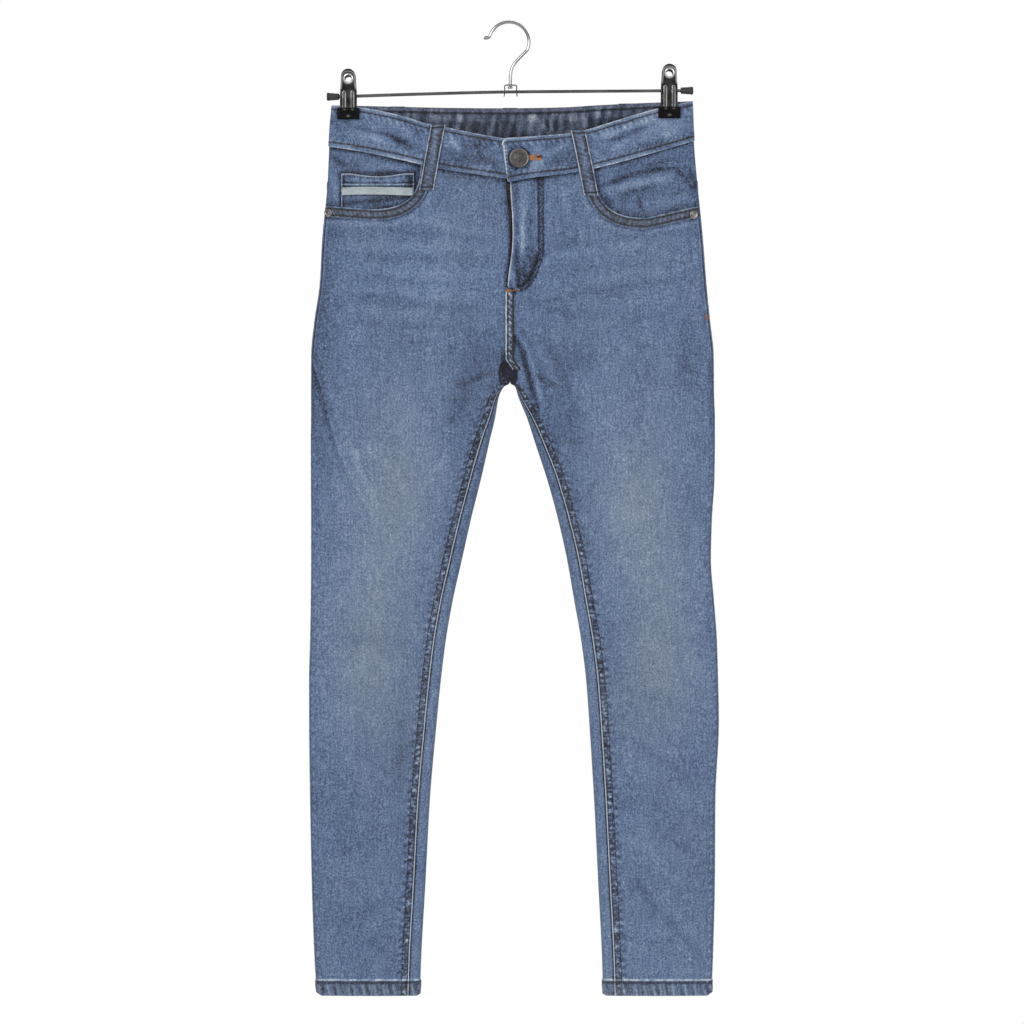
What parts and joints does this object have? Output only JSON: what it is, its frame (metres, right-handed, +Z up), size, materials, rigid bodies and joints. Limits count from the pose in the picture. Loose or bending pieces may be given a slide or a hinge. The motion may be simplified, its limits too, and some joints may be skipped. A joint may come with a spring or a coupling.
{
  "type": "slim fit jeans on clip hanger",
  "caption": "Slim fit five-pocket denim jeans, hung flat by the waistband from the two clips of a wire hanger with a round hook.",
  "frame": {"origin": "underside of the hanger hook's crown, where a rail carries the hanger", "axes": "+Z up, from the hems to the hook; the front of the jeans faces -Y; +X is the wearer's left"},
  "size_m": [0.4097, 0.0446, 0.9745],
  "materials": {
    "denim": "slubby mid-blue twill, faded pale on the thighs and knees",
    "cotton_tape": "off-white woven tape",
    "zip": "dark blue tape with metal teeth",
    "antique_metal": "aged dark plate",
    "rivet_metal": "aged copper-grey plate",
    "chrome": "polished",
    "gunmetal": "dark satin plate",
    "rubber": "matt black"
  },
  "bodies": {
    "root": {"front_right": "denim", "front_left": "denim", "back_right": "denim", "back_left": "denim", "yoke_right": "denim", "yoke_left": "denim", "waistband": "denim", "belt_loop_front_right": "denim", "belt_loop_front_left": "denim", "belt_loop_back_right": "denim", "belt_loop_back_left": "denim", "belt_loop_back_centre": "denim", "pocket_facing_right": "denim", "pocket_facing_left": "denim", "coin_pocket": "denim", "coin_tape": "cotton_tape", "back_pocket_right": "denim", "back_pocket_left": "denim", "zip": "zip", "zip_slider": "antique_metal", "button": "antique_metal", "rivet_right": "rivet_metal", "rivet_left": "rivet_metal", "hanger_hook": "chrome", "hanger_rod": "chrome", "hanger_saddle": "chrome", "knob_right": "rubber", "knob_left": "rubber", "clip_right_front_plate": "gunmetal", "clip_right_back_plate": "gunmetal", "clip_right_front_pad": "rubber", "clip_right_back_pad": "rubber", "clip_right_spring": "chrome", "clip_left_front_plate": "gunmetal", "clip_left_back_plate": "gunmetal", "clip_left_front_pad": "rubber", "clip_left_back_pad": "rubber", "clip_left_spring": "chrome"}
  },
  "joints": []
}
